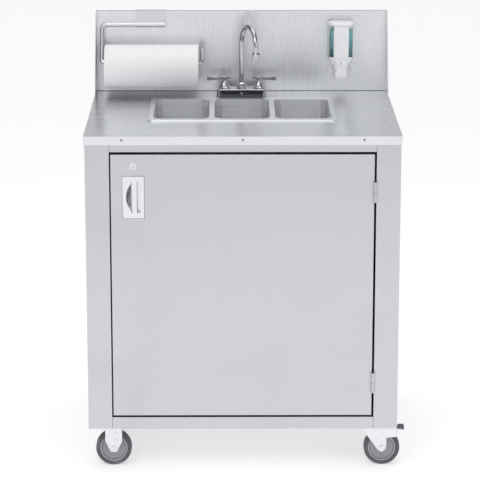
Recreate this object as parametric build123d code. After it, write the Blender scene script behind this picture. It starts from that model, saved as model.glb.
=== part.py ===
from build123d import *
import math
import os

# Portable handwash sink: a stainless steel cabinet on four casters, with a three-bowl sink, a mixer tap,
# a paper towel holder and a soap dispenser on its backsplash.
# Millimetres. X to the right, Y to the back, Z up. The origin is on the floor, under the centre of the top.

# ---- Driving dimensions: cabinet ----
top_width = 876.0
overall_depth = 700.0
counter_height = 966.0
body_bottom = 124.0
splash_height = 242.0
splash_depth = 20.0
sheet = 1.5
top_overhang = 3.0
lip_height = 24.0
post_width = 67.0
top_rail_drop = 44.0
bottom_rail_height = 34.5
return_depth = 24.0
rail_return_depth = 12.0
seam = 0.6
gusset_depth = 125.0
gusset_top_depth = 18.0
gusset_foot = 5.0
hem_height = 15.5
hem_thickness = 1.5
pan_flange = 20.0
pan_lift = 2.0
back_flange = 20.0
vent_rows = 5
vent_xs = (-120.0, 0.0, 120.0)
vent_size = (80.0, 6.0)
vent_pitch = 24.0
vent_drop = 150.0
inlet_inset_back = 90.0
inlet_rise = 136.0
inlet_r = 22.0
inlet_flange_half = 30.0

# ---- Driving dimensions: screws in the front lip ----
lip_screw_inset = 105.0
lip_screw_drop = 10.0
screw_r = 2.0
screw_head_r = 3.6
screw_head_t = 1.6
screw_cross = (4.8, 0.8)
screw_cross_depth = 0.9
screw_grip = 6.0

# ---- Driving dimensions: door ----
door_thickness = 25.0
door_sheet = 1.2
door_gap_left = 4.0
door_gap_right = 6.0
door_gap_top = 7.0
door_gap_bottom = 5.5
hinge_barrel_r = 6.0
hinge_pin_r = 3.0
hinge_length = 58.0
hinge_leaf = 2.0
hinge_top_inset = 105.0
hinge_bottom_inset = 97.0
running_gap = 0.05
face_gap = 0.3

# ---- Driving dimensions: pull and lock ----
pull_plate_width = 60.0
pull_plate_height = 118.0
pull_plate_t = 1.5
pull_inset = 62.0
pull_drop = 120.0
cup_width = 40.0
cup_height = 89.0
cup_depth = 19.0
cup_wall = 1.2
scoop_width = 16.0
grip_width = 14.5
grip_thickness = 7.0
grip_gap = 2.0
lock_bezel_r = 11.5
lock_bezel_t = 3.0
lock_barrel_r = 9.2
lock_plug_r = 7.0
lock_drop = 31.0
cam_length = 76.0
cam_width = 12.0
cam_thickness = 2.5
cam_gap = 2.0

# ---- Driving dimensions: sink ----
bowl_width = 158.7
bowl_length = 290.0
bowl_depth = 152.0
bowl_gap = 15.0
bowl_corner = 28.0
bowl_wall = 1.2
bowl_taper = 3.0
bowl_floor_fillet = 16.0
rim_side = 14.0
rim_front = 28.0
rim_back = 36.0
rim_height = 3.0
rim_corner = 14.0
sink_front_offset = 210.0
drain_r = 20.0
strainer_flange_r = 27.0
strainer_t = 1.5

# ---- Driving dimensions: faucet ----
tap_centres = 101.6
tap_base_length = 150.0
tap_base_depth = 62.0
tap_base_height = 24.0
tap_base_draft = 1.0
tap_base_gap = 4.0
tap_wall = 4.0
bonnet_base_r = 16.5
bonnet_top_r = 7.0
bonnet_height = 23.0
stem_r = 4.0
lever_reach = 52.5
lever_tail = 19.0
lever_height = 12.0
lever_hub_r = 8.5
spout_r = 7.15
spout_bore_r = 5.5
spout_reach = 110.0
spout_rise = 136.0
spout_drop = 17.0
spout_angle = 22.0
collar_r = 14.5
collar_height = 17.0
aerator_r = 11.5
aerator_length = 18.0
shank_r = 10.0
shank_length = 66.0
badge_r = 5.0

# ---- Driving dimensions: towel holder and roll ----
roll_r = 65.0
roll_length = 279.0
core_r = 20.0
core_wall = 1.3
roll_clearance_below = 23.0
roll_splash_gap = 10.0
roll_left = -406.0
rod_r = 6.35
rod_drop = 39.5
rod_end_gap = 9.5
rod_bend = 9.0
rod_top_bend = 16.0
hook_height = 40.0
bracket_width = 88.0
bracket_left = -315.0

# ---- Driving dimensions: soap dispenser ----
soap_x = 296.0
soap_width = 76.0
soap_top_gap = 25.0
soap_height = 172.0
soap_depth = 71.0
soap_plate_t = 4.0
soap_lid_t = 12.0
soap_wall = 2.0
soap_window_height = 92.0
soap_shoulder = 24.0
soap_band_width = 45.0
soap_band_t = 5.0
button_width = 37.0
button_height = 33.0
button_travel = 8.0

# ---- Driving dimensions: casters ----
wheel_r = 50.8
wheel_width = 30.0
tyre_depth = 11.8
hub_bore_r = 4.8
axle_r = 4.75
caster_inset_x = 71.0
caster_inset_y = 62.0
caster_trail = 30.0
fork_sheet = 3.0
wheel_side_gap = 2.5
plate_length = 95.0
plate_width = 67.0
plate_t = 3.0
kingpin_r = 6.0
crown_drop = 5.0
brake_reach = 93.0
brake_gap = 4.2

# ---- Driving dimensions: plumbing ----
tank_wall = 3.0
fresh_size = (260.0, 260.0, 300.0)
waste_size = (280.0, 290.0, 320.0)
tank_side_gap = 32.0
neck_r = 28.0
neck_height = 22.0
cap_height = 18.0
pipe_r = 19.0
pipe_wall = 2.0
manifold_drop = 58.0
hose_r = 6.0
hose_bore_r = 4.0
heater_size = (160.0, 90.0, 220.0)
heater_z = 500.0
pump_size = (110.0, 80.0, 70.0)

# ---- Derived positions ----
half_top = top_width / 2
half_body = half_top - top_overhang
y_lip = -overall_depth / 2
y_back = overall_depth / 2
y_front = y_lip + top_overhang
y_splash = y_back - splash_depth
z_top = counter_height
z_under = z_top - sheet
z_splash_top = z_top + splash_height
opening_left = -half_body + post_width
opening_right = half_body - post_width
opening_top = z_top - top_rail_drop
opening_bottom = body_bottom + bottom_rail_height
door_left = opening_left + door_gap_left
door_right = opening_right - door_gap_right
door_top = opening_top - door_gap_top
door_bottom = opening_bottom + door_gap_bottom
y_door_back = y_front + door_thickness
hinge_x = opening_right - door_gap_right / 2
hinge_y = y_front - hinge_barrel_r - 0.5
hinge_centres = (door_top - hinge_top_inset, door_bottom + hinge_bottom_inset)
lock_x = door_left + pull_inset
lock_z = door_top - lock_drop
pull_x = lock_x
pull_z = door_top - pull_drop
sink_half = 1.5 * bowl_width + bowl_gap + rim_side
sink_front = y_lip + sink_front_offset
sink_back = sink_front + rim_front + bowl_length + rim_back
bowl_y = sink_front + rim_front + bowl_length / 2
bowl_pitch = bowl_width + bowl_gap
bowl_xs = (-bowl_pitch, 0.0, bowl_pitch)
z_rim = z_top + rim_height
z_bowl_floor = z_rim - bowl_depth
tap_y = sink_back + tap_base_gap + tap_base_depth / 2
z_tap = z_top + tap_base_height
tap_x = tap_centres / 2
roll_y = y_splash - roll_splash_gap - roll_r
roll_z = z_top + roll_clearance_below + roll_r
z_rod = roll_z + core_r - rod_r - 0.1
z_rod_top = z_splash_top - rod_drop
sleeve_r = rod_r + 0.05 + sheet
rod_left = roll_left - rod_end_gap
rod_right = roll_left + roll_length + rod_end_gap
soap_top = z_splash_top - soap_top_gap
soap_bottom = soap_top - soap_height
soap_front = y_splash - soap_depth
kingpin_x = half_body - caster_inset_x + 2.0
rigid_x = -half_body + caster_inset_x - 3.0
caster_y = overall_depth / 2 - caster_inset_y - top_overhang
wheel_half = wheel_width / 2
cheek_in = wheel_half + wheel_side_gap
cheek_out = cheek_in + fork_sheet
plate_bottom = body_bottom - plate_t
pan_floor = body_bottom + pan_lift
lip_screw_xs = (lip_screw_inset - half_top, 0.0, half_top - lip_screw_inset)
lip_screw_z = z_top - lip_screw_drop
inlet_y = y_back - inlet_inset_back
inlet_z = body_bottom + inlet_rise
crown_top = plate_bottom - crown_drop
crown_bottom = crown_top - fork_sheet
brake_pivot = (caster_trail + 4, crown_bottom - 6.0)
fresh_x = -half_body + tank_side_gap + fresh_size[0] / 2
waste_x = half_body - tank_side_gap - waste_size[0] / 2
z_manifold = z_bowl_floor - manifold_drop


def block(x, y, z):
    """A box between low and high values on each axis."""
    centre = Pos((x[0] + x[1]) / 2, (y[0] + y[1]) / 2, (z[0] + z[1]) / 2)
    return centre * Box(x[1] - x[0], y[1] - y[0], z[1] - z[0])


def rod_x(radius, x, y, z):
    return Pos((x[0] + x[1]) / 2, y, z) * Rot(0, 90, 0) * Cylinder(radius, x[1] - x[0])


def rod_y(radius, x, y, z):
    return Pos(x, (y[0] + y[1]) / 2, z) * Rot(90, 0, 0) * Cylinder(radius, y[1] - y[0])


def rod_z(radius, x, y, z):
    return Pos(x, y, (z[0] + z[1]) / 2) * Cylinder(radius, z[1] - z[0])


def prism_x(points, x):
    """A (y, z) outline pushed along X."""
    plane = Plane(origin=(x[0], 0, 0), x_dir=(0, 1, 0), z_dir=(1, 0, 0))
    return extrude(plane * make_face(Polyline(*points, close=True)), amount=x[1] - x[0])


def prism_y(points, y):
    """An (x, z) outline pushed along Y."""
    plane = Plane(origin=(0, y[1], 0), x_dir=(1, 0, 0), z_dir=(0, -1, 0))
    return extrude(plane * make_face(Polyline(*points, close=True)), amount=y[1] - y[0])


def slab(width, length, corner, x, y, z):
    """A plate lying flat, with rounded corners, centred on x and y."""
    face = Pos(x, y, z[0]) * RectangleRounded(width, length, corner)
    return extrude(face, amount=z[1] - z[0])


def turned(points, x, y, z):
    """A ring or knob turned about a vertical axis, from (radius, height) points above z."""
    plane = Plane(origin=(x, y, z), x_dir=(1, 0, 0), z_dir=(0, -1, 0))
    face = plane * make_face(Polyline(*points, close=True))
    return revolve(face, axis=Axis((x, y, z), (0, 0, 1)), revolution_arc=360)


def tube(points, radii, outer, inner):
    """A bent tube along straight runs joined by arcs."""
    path = FilletPolyline(*points, radius=radii)
    start = Plane(origin=path @ 0, z_dir=path % 0)
    body = sweep(start * Circle(outer), path=path)
    if inner > 0:
        body -= sweep(start * Circle(inner), path=path)
    return body


os.makedirs("parts", exist_ok=True)


def save(name, *shapes):
    solids = [s for shape in shapes for s in shape.solids()]
    whole = solids[0] if len(solids) == 1 else Compound(children=solids)
    export_step(whole, f"parts/{name}.step")


# ---- Cabinet shell ----
def make_countertop():
    deck_back = y_back - sheet - 0.1
    top = block((-half_top, half_top), (y_lip, deck_back), (z_under, z_top))
    top += block((-half_top, half_top), (y_lip, y_lip + sheet), (z_top - lip_height, z_top))
    for side in (-1, 1):
        edge = sorted((side * half_top, side * (half_top - sheet)))
        top += block(edge, (y_lip, deck_back), (z_top - lip_height, z_top))
    hole = slab(2 * (sink_half - 6), sink_back - sink_front - 12, rim_corner - 4,
                0, (sink_front + sink_back) / 2, (z_under - 1, z_top + 1))
    top -= hole
    for x in (-tap_x, tap_x):
        top -= rod_z(shank_r + 2, x, tap_y, (z_under - 1, z_top + 1))
    for x in lip_screw_xs:
        top -= rod_y(screw_r + 0.1, x, (y_lip - 1, y_lip + sheet + 1), lip_screw_z)
    vertical = top.edges().filter_by(Axis.Z).sort_by(Axis.Y)[:2]
    save("countertop", fillet(vertical, sheet * 0.9))



def make_lip_screws():
    screws = []
    for x in lip_screw_xs:
        head = rod_y(screw_head_r, x, (y_lip - screw_head_t, y_lip), lip_screw_z)
        head = fillet(head.edges().sort_by(Axis.Y)[:1], screw_head_t * 0.6)
        slot_y = (y_lip - screw_head_t, y_lip - screw_head_t + screw_cross_depth)
        for wide, tall in (screw_cross, screw_cross[::-1]):
            slot_z = (lip_screw_z - tall / 2, lip_screw_z + tall / 2)
            head -= block((x - wide / 2, x + wide / 2), slot_y, slot_z)
        screws.append(head + rod_y(screw_r, x, (y_lip, y_front + screw_grip), lip_screw_z))
    save("lip_screws", *screws)


def gusset_outline():
    foot = y_splash - gusset_depth
    head = y_splash - gusset_top_depth
    rear = y_back - sheet
    return [(rear, z_top), (foot, z_top), (foot, z_top + gusset_foot), (head, z_splash_top),
            (rear, z_splash_top)]


def make_backsplash():
    splash = block((-half_body, half_body), (y_splash, y_splash + sheet), (z_top, z_splash_top))
    splash += block((-half_body, half_body), (y_splash, y_back), (z_splash_top - sheet, z_splash_top))
    rear_z = (z_splash_top - back_flange, z_splash_top)
    splash += block((-half_body, half_body), (y_back - sheet, y_back), rear_z)
    for side in (-1, 1):
        edge = sorted((side * half_body, side * (half_body - sheet)))
        splash += prism_x(gusset_outline(), edge)
    hem = (z_splash_top - hem_height, z_splash_top)
    splash += block((-half_body, half_body), (y_splash - hem_thickness, y_splash), hem)
    save("backsplash", splash)


def make_side_panel(name, side):
    def across(near, far):
        return sorted((side * (half_body - near), side * (half_body - far)))

    z = (body_bottom, z_under)
    panel = block(across(0, sheet), (y_front, y_back - sheet), z)
    panel += block(across(0, post_width), (y_front, y_front + sheet), z)
    post_lip = (pan_floor + face_gap, z_under)
    panel += block(across(post_width - sheet, post_width), (y_front, y_front + return_depth), post_lip)
    panel += block(across(0, back_flange), (y_back - 2 * sheet, y_back - sheet), z)
    if side < 0:
        panel -= rod_x(inlet_r + 0.5, (-half_body - 1, -half_body + sheet + 1), inlet_y, inlet_z)
    save(name, panel)


def make_back_panel():
    edges = (-half_body + seam, half_body - seam)
    panel = block(edges, (y_back - sheet, y_back), (body_bottom + seam, z_splash_top - back_flange - seam))
    vent = extrude(SlotOverall(*vent_size), 10, both=True)
    for row in range(vent_rows):
        for x in vent_xs:
            panel -= Pos(x, y_back, z_top - vent_drop - row * vent_pitch) * Rot(90, 0, 0) * vent
    save("back_panel", panel)


def make_base_pan():
    half = half_body - sheet - 0.2
    y = (y_front + sheet + 0.2, y_back - 2 * sheet - 0.2)
    pan = block((-half, half), y, (body_bottom, pan_floor))
    flange_z = (body_bottom, body_bottom + pan_flange)
    for side in (-1, 1):
        pan += block(sorted((side * half, side * (half - sheet))), y, flange_z)
    # The flanges stop short of the corner posts.
    for side in (-1, 1):
        post = sorted((side * half, side * (half_body - post_width - 2)))
        post_y = (y[0] - 1, y_front + return_depth + 0.5)
        pan -= block(post, post_y, (pan_floor, body_bottom + pan_flange + 1))
    save("base_pan", pan)


def make_rail(name, z, lip_z, holes):
    x = (opening_left + seam, opening_right - seam)
    rail = block(x, (y_front, y_front + sheet), z)
    rail += block(x, (y_front, y_front + rail_return_depth), lip_z)
    for hole in holes:
        if x[0] < hole < x[1]:
            rail -= rod_y(screw_r + 0.1, hole, (y_front - 1, y_front + sheet + 1), lip_screw_z)
    save(name, rail)


# ---- Door ----
def cup_block(grow, y):
    """The pull's recess: a deep slot round the grip, and a scooped hollow for the fingers beside it."""
    right = pull_x + cup_width / 2 + grow
    slot_left = pull_x - cup_width / 2 + scoop_width - grip_gap - grow
    half = cup_height / 2 + grow
    slot = block((slot_left, right), y, (pull_z - half, pull_z + half))
    slot = fillet(slot.edges().filter_by(Axis.Y), 5.0 + grow)
    # The scoop is part of a ball whose rim meets the plate in an arc through the slot's ends.
    chord = cup_height / 2 - 4
    rim = (chord ** 2 + scoop_width ** 2) / (2 * scoop_width)
    sink = 0.56 * rim
    ball = (rim ** 2 + sink ** 2) / (2 * sink)
    centre_x = pull_x - cup_width / 2 + rim
    scoop = Pos(centre_x, y_front - pull_plate_t - ball + sink, pull_z) * Sphere(ball + grow)
    near = block((pull_x - pull_plate_width, slot_left + 6), y, (pull_z - half + 2, pull_z + half - 2))
    return slot + (scoop & near)


def make_door():
    x = (door_left, door_right)
    z = (door_bottom, door_top)
    skin = block(x, (y_front, y_door_back - door_sheet - 0.1), z)
    inner_x = (x[0] + door_sheet, x[1] - door_sheet)
    inner_z = (z[0] + door_sheet, z[1] - door_sheet)
    skin -= block(inner_x, (y_front + door_sheet, y_door_back), inner_z)
    hole = (pull_x - cup_width / 2 - 2, pull_x + cup_width / 2 + 2)
    hole_z = (pull_z - cup_height / 2 - 2, pull_z + cup_height / 2 + 2)
    skin -= block(hole, (y_front - 1, y_front + door_sheet + 1), hole_z)
    skin -= rod_y(lock_barrel_r + 0.2, lock_x, (y_front - 1, y_front + door_sheet + 1), lock_z)
    save("door_skin", skin)
    liner = block(x, (y_door_back - door_sheet, y_door_back), z)
    liner -= rod_y(lock_barrel_r + 0.2, lock_x, (y_door_back - 3, y_door_back + 1), lock_z)
    save("door_liner", liner)


def make_pull():
    plate_x = (pull_x - pull_plate_width / 2, pull_x + pull_plate_width / 2)
    plate_z = (pull_z - pull_plate_height / 2, pull_z + pull_plate_height / 2)
    plate = block(plate_x, (y_front - pull_plate_t, y_front), plate_z)
    plate = fillet(plate.edges().filter_by(Axis.Y), 2.0)
    plate += cup_block(cup_wall, (y_front - pull_plate_t, y_front + cup_depth))
    plate -= cup_block(0, (y_front - 5, y_front + cup_depth - cup_wall))
    left = pull_x - cup_width / 2 + scoop_width
    grip_y = (y_front - pull_plate_t + 0.5, y_front - pull_plate_t + 0.5 + grip_thickness)
    half = cup_height / 2 + 0.6
    grip = block((left, left + grip_width), grip_y, (pull_z - half, pull_z + half))
    grip = fillet(grip.edges().filter_by(Axis.Z), 2.5)
    save("pull_handle", plate + grip)


def make_lock():
    body = rod_y(lock_bezel_r, lock_x, (y_front - lock_bezel_t, y_front), lock_z)
    body = fillet(body.edges().sort_by(Axis.Y)[:1], 1.0)
    body += rod_y(lock_barrel_r, lock_x, (y_front, y_door_back + 0.8), lock_z)
    body -= rod_y(lock_plug_r + running_gap, lock_x, (y_front - 9, y_door_back + 9), lock_z)
    save("lock_body", body)
    cam_y = (y_door_back + cam_gap, y_door_back + cam_gap + cam_thickness)
    plug = rod_y(lock_plug_r, lock_x, (y_front - lock_bezel_t + 0.6, cam_y[1] + 2), lock_z)
    plug -= block((lock_x - 0.8, lock_x + 0.8), (y_front - 9, y_front + 2), (lock_z - 3.6, lock_z + 3.6))
    cam = block((lock_x - cam_width / 2, lock_x + cam_width / 2), cam_y,
                (lock_z - cam_length + cam_width / 2, lock_z))
    cam += rod_y(cam_width / 2, lock_x, cam_y, lock_z - cam_length + cam_width / 2)
    cam += rod_y(lock_plug_r + 2, lock_x, cam_y, lock_z)
    save("lock_plug", plug + cam)


def make_hinges():
    """Two lift-off hinges: the frame leaf carries the pin, the door leaf drops over it."""
    frame_leaves = []
    door_leaves = []
    half = hinge_length / 2
    for z in hinge_centres:
        low = (z - half, z - face_gap / 2)
        high = (z + face_gap / 2, z + half)
        leaf_y = (hinge_y + hinge_barrel_r + 1.0, y_front + return_depth - 3)
        x_frame = (opening_right - hinge_leaf, opening_right)
        x_door = (door_right, door_right + hinge_leaf)
        frame = rod_z(hinge_barrel_r, hinge_x, hinge_y, low)
        frame += block(x_frame, (hinge_y + 2, leaf_y[0]), low)
        frame += block(x_frame, leaf_y, (z - half, z + half))
        frame += rod_z(hinge_pin_r, hinge_x, hinge_y, (low[0], high[1] - 4))
        door = rod_z(hinge_barrel_r, hinge_x, hinge_y, high)
        door += block(x_door, (hinge_y + 2, leaf_y[0]), high)
        door += block(x_door, leaf_y, (z - half, z + half))
        door -= rod_z(hinge_pin_r + running_gap, hinge_x, hinge_y, (high[0] - 1, high[1] - 3.5))
        frame_leaves.append(frame)
        door_leaves.append(door)
    save("hinge_frame_leaves", *frame_leaves)
    save("hinge_door_leaves", *door_leaves)


# ---- Sink ----
def bowl_solid(x, grow, top):
    """The space of one bowl, grown outwards by a wall."""
    mouth = RectangleRounded(bowl_width + 2 * grow, bowl_length + 2 * grow, bowl_corner + grow)
    body = extrude(Pos(x, bowl_y, z_rim) * mouth, amount=-(bowl_depth + grow), taper=bowl_taper)
    floor = body.faces().sort_by(Axis.Z)[0]
    body = fillet(floor.edges(), bowl_floor_fillet + grow)
    if top > 0:
        body += slab(bowl_width + 2 * grow, bowl_length + 2 * grow, bowl_corner + grow, x, bowl_y,
                     (z_rim, z_rim + top))
    return body


def make_sink():
    width = 2 * sink_half
    length = sink_back - sink_front
    middle = (sink_front + sink_back) / 2
    rim = slab(width, length, rim_corner, 0, middle, (z_top, z_rim))
    top_edges = rim.faces().sort_by(Axis.Z)[-1].edges()
    rim = fillet(top_edges, rim_height * 0.8)
    for x in bowl_xs:
        mouth = (bowl_width + 2 * bowl_wall, bowl_length + 2 * bowl_wall)
        rim -= slab(mouth[0], mouth[1], bowl_corner + bowl_wall, x, bowl_y, (z_top - 1, z_rim + 1))
    save("sink_rim", rim)
    for name, x in zip(("left", "centre", "right"), bowl_xs):
        bowl = bowl_solid(x, bowl_wall, 0) - bowl_solid(x, 0, 1.0)
        bowl -= rod_z(drain_r, x, bowl_y, (z_bowl_floor - 9, z_bowl_floor + 9))
        save(f"sink_bowl_{name}", bowl)


def make_strainers():
    strainers = []
    for x in bowl_xs:
        ring = rod_z(strainer_flange_r, x, bowl_y, (z_bowl_floor, z_bowl_floor + strainer_t))
        ring = fillet(ring.edges().sort_by(Axis.Z)[-1:], strainer_t * 0.6)
        ring -= rod_z(drain_r - 3, x, bowl_y, (z_bowl_floor - 1, z_bowl_floor + 5))
        ring += rod_z(drain_r - 0.1, x, bowl_y, (z_bowl_floor - 10, z_bowl_floor))
        ring -= rod_z(drain_r - 3, x, bowl_y, (z_bowl_floor - 8, z_bowl_floor + 5))
        for turn in range(8):
            angle = math.radians(45 * turn)
            px = x + 10.5 * math.cos(angle)
            py = bowl_y + 10.5 * math.sin(angle)
            ring -= rod_z(2.6, px, py, (z_bowl_floor - 11, z_bowl_floor - 7))
        ring -= rod_z(3.0, x, bowl_y, (z_bowl_floor - 11, z_bowl_floor - 7))
        strainers.append(ring)
    save("drain_strainers", *strainers)


# ---- Faucet ----
def make_faucet_body():
    y = tap_y
    foot = slab(tap_base_length, tap_base_depth, 16, 0, y, (z_top, z_top + 3))
    body_face = Pos(0, y, z_top + 3) * RectangleRounded(tap_base_length - 3, tap_base_depth - 3, 15)
    body = extrude(body_face, amount=tap_base_height - 3, taper=tap_base_draft)
    body = fillet(body.faces().sort_by(Axis.Z)[-1].edges(), 3.0)
    body += foot
    body -= slab(tap_base_length - 4 * tap_wall, tap_base_depth - 4 * tap_wall, 12, 0, y,
                 (z_top - 1, z_tap - 2 * tap_wall))
    for x in (-tap_x, tap_x):
        body += rod_z(shank_r, x, y, (z_top - shank_length, z_tap - tap_wall))
        body -= rod_z(shank_r - 3, x, y, (z_top - shank_length - 1, z_tap - 2 * tap_wall))
    body += rod_z(spout_bore_r - 0.1, 0, y, (z_tap - tap_wall, z_tap + 12))
    front = y - tap_base_depth / 2 + 1.5 + 1.2
    badge = Pos(0, front + 3.5, z_top + tap_base_height * 0.5) * Sphere(badge_r + 0.6)
    body += badge & block((-9, 9), (front - 9, front + 5), (z_top, z_tap))
    save("faucet_body", body)


def make_bonnets():
    bonnets = []
    profile = [(0, 0), (bonnet_base_r, 0), (bonnet_base_r, 3), (14.2, 5.5), (11.0, 10), (8.6, 16),
               (bonnet_top_r, bonnet_height), (stem_r, bonnet_height), (stem_r, bonnet_height + 8),
               (0, bonnet_height + 8)]
    for x in (-tap_x, tap_x):
        bonnets.append(turned(profile, x, tap_y, z_tap + 0.1))
    save("valve_bonnets", *bonnets)


def make_lever(name, side):
    """A blade lever: it widens and deepens from the hub towards its end."""
    low = z_tap + bonnet_height + face_gap + 0.1
    top = low + lever_height
    hub = rod_z(lever_hub_r, 0, 0, (low, top))
    hub = fillet(hub.edges().sort_by(Axis.Z)[-1:], 2.0)
    outline = [(-lever_tail, low + 4.0), (0, low + 2.0), (lever_hub_r, low + 3.0), (lever_reach, low),
               (lever_reach, top), (lever_reach * 0.45, top - 4.0), (lever_hub_r, top - 1.5), (0, top),
               (-lever_tail, top - 1.0)]
    side_view = prism_y(outline, (-9, 9))
    plan = make_face(Polyline((-lever_tail, -4), (0, -5), (lever_reach, -8), (lever_reach, 8), (0, 5),
                              (-lever_tail, 4), close=True))
    plan_block = extrude(Pos(0, 0, low - 5) * plan, amount=lever_height + 10)
    blade = side_view & plan_block
    ends = blade.edges().filter_by(Axis.Z)
    blade = fillet(ends.sort_by(Axis.X)[-2:], 4.0)
    lever = hub + blade
    lever -= rod_z(stem_r + running_gap, 0, 0, (low - 1, low + 8.6))
    if side < 0:
        lever = Rot(0, 0, 180) * lever
    save(name, Pos(side * tap_x, tap_y, 0) * lever)


def make_spout():
    """A gooseneck, built facing the front and then turned to its resting angle."""
    bend = spout_reach / 2
    z_base = z_tap + face_gap
    z_arc = z_tap + spout_rise
    rise = Line((0, 0, z_base), (0, 0, z_arc))
    arc = ThreePointArc((0, 0, z_arc), (0, -bend, z_arc + bend), (0, -spout_reach, z_arc))
    drop = Line((0, -spout_reach, z_arc), (0, -spout_reach, z_arc - spout_drop))
    path = Wire([rise.edge(), arc.edge(), drop.edge()])
    start = Plane(origin=(0, 0, z_base), z_dir=(0, 0, 1))
    body = sweep(start * Circle(spout_r), path=path)
    collar = [(0, 0), (collar_r, 0), (collar_r, 4), (collar_r - 2.0, 7), (collar_r - 2.0, 13),
              (spout_r + 1.2, collar_height), (0, collar_height)]
    body += turned(collar, 0, 0, z_base)
    body -= sweep(start * Circle(spout_bore_r), path=path)
    place = Pos(0, tap_y, 0) * Rot(0, 0, spout_angle)
    save("spout", place * body)
    tip = z_arc - spout_drop
    low = tip + 4 - aerator_length
    ring = [(0, low), (aerator_r - 1.5, low), (aerator_r, low + 2), (aerator_r, tip - 1),
            (aerator_r - 2.5, tip + 4), (0, tip + 4)]
    aerator = turned(ring, 0, -spout_reach, 0)
    aerator -= rod_z(spout_r + running_gap, 0, -spout_reach, (tip - 0.1, tip + 6))
    aerator -= rod_z(aerator_r - 3.5, 0, -spout_reach, (low - 1, low + 3))
    aerator -= rod_z(spout_bore_r, 0, -spout_reach, (low, tip + 1))
    mesh = rod_z(aerator_r - 3.4, 0, -spout_reach, (low + 3, low + 4.5))
    for row in range(6):
        angle = math.radians(60 * row)
        mesh -= rod_z(1.2, 5 * math.cos(angle), 5 * math.sin(angle) - spout_reach, (low, low + 9))
    save("aerator", place * (aerator + mesh))


# ---- Towel holder ----
def make_towel_holder():
    right = bracket_left + bracket_width
    x = (bracket_left, right)
    hem_front = y_splash - hem_thickness
    bracket = block(x, (hem_front - sheet, hem_front), (z_rod_top, z_splash_top + sheet))
    bracket += block(x, (hem_front - sheet, y_back), (z_splash_top, z_splash_top + sheet))
    sleeve_y = hem_front - sleeve_r
    bracket += rod_x(sleeve_r, x, sleeve_y, z_rod_top)
    bracket -= rod_x(rod_r + 0.05, (x[0] - 1, x[1] + 1), sleeve_y, z_rod_top)
    save("towel_bracket", bracket)
    points = [(right - 1, sleeve_y, z_rod_top), (rod_left, sleeve_y, z_rod_top), (rod_left, roll_y, z_rod),
              (rod_right, roll_y, z_rod), (rod_right, roll_y, z_rod + hook_height)]
    save("towel_rod", tube(points, [rod_top_bend, rod_bend, rod_bend], rod_r, 0))


def make_roll():
    x = (roll_left, roll_left + roll_length)
    core = rod_x(core_r + core_wall, x, roll_y, roll_z)
    core -= rod_x(core_r, (x[0] - 1, x[1] + 1), roll_y, roll_z)
    save("roll_core", core)
    paper = rod_x(roll_r, x, roll_y, roll_z)
    paper = fillet(paper.edges().filter_by(GeomType.CIRCLE), 3.0)
    paper -= rod_x(core_r + core_wall + 0.05, (x[0] - 1, x[1] + 1), roll_y, roll_z)
    save("paper_roll", paper)


# ---- Soap dispenser ----
def make_soap():
    half = soap_width / 2
    y_plate = y_splash - soap_plate_t
    z_lid = soap_top - soap_lid_t
    z_window = z_lid - soap_window_height
    z_shoulder = z_window - soap_shoulder
    band = soap_band_width / 2
    y_box = (soap_front + soap_band_t, y_plate - face_gap)
    middle = sum(y_box) / 2
    length = y_box[1] - y_box[0]
    save("soap_backplate", block((soap_x - half + 5, soap_x + half - 5), (y_plate, y_splash),
                                 (soap_bottom + 12, z_lid)))
    bottle = slab(soap_width - 2, length, 20, soap_x, middle, (z_window, z_lid - face_gap))
    bottle -= slab(soap_width - 2 - 2 * soap_wall, length - 2 * soap_wall, 18, soap_x, middle,
                   (z_window + soap_wall, z_lid + 1))
    save("soap_bottle", bottle)
    lid_y = (soap_front - 1, y_splash - 8)
    lid = slab(soap_width, lid_y[1] - lid_y[0], 22, soap_x, sum(lid_y) / 2, (z_lid, soap_top))
    lid = fillet(lid.faces().sort_by(Axis.Z)[-1].edges(), 4.0)
    save("soap_lid", lid)
    nose_y = (soap_front, soap_front + 52)
    cover = slab(soap_width, length, 20, soap_x, middle, (z_shoulder, z_window - 0.1))
    cover = fillet(cover.faces().sort_by(Axis.Z)[0].edges(), 7.0)
    strip_y = (soap_front, y_box[0] - 0.1)
    strip = block((soap_x - band, soap_x + band), strip_y, (z_shoulder, z_lid - face_gap))
    strip = fillet(strip.edges().filter_by(Axis.Z).sort_by(Axis.Y)[:2], 2.5)
    nose = block((soap_x - band, soap_x + band), nose_y, (soap_bottom, z_shoulder + 12))
    nose = fillet(nose.edges().filter_by(Axis.Y).sort_by(Axis.Z)[:2], 15.0)
    cover += strip + nose
    btn_z = (soap_bottom + 6, soap_bottom + 6 + button_height)
    btn = button_width / 2
    pocket_y = (soap_front - 1, soap_front + 7 + button_travel)
    pocket = button_block(btn + 0.5, (btn_z[0] - 0.5, btn_z[1] + 0.5), pocket_y)
    pocket += rod_y(9.5, soap_x, (soap_front + 5, soap_front + 24), btn_z[0] + 14)
    cover -= pocket
    pump_y = soap_front + 37
    cover -= rod_z(12.0, soap_x, pump_y, (soap_bottom - 1, z_window + 1))
    save("soap_cover", cover)
    button = button_block(btn, btn_z, (soap_front - 3, soap_front + 5))
    save("soap_button", button)
    pump = rod_z(11.5, soap_x, pump_y, (soap_bottom + 4, z_window - 2))
    pump += rod_z(4.0, soap_x, pump_y, (soap_bottom - 4, soap_bottom + 4))
    pump -= rod_z(2.0, soap_x, pump_y, (soap_bottom - 5, z_window))
    save("soap_pump", pump)


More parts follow.
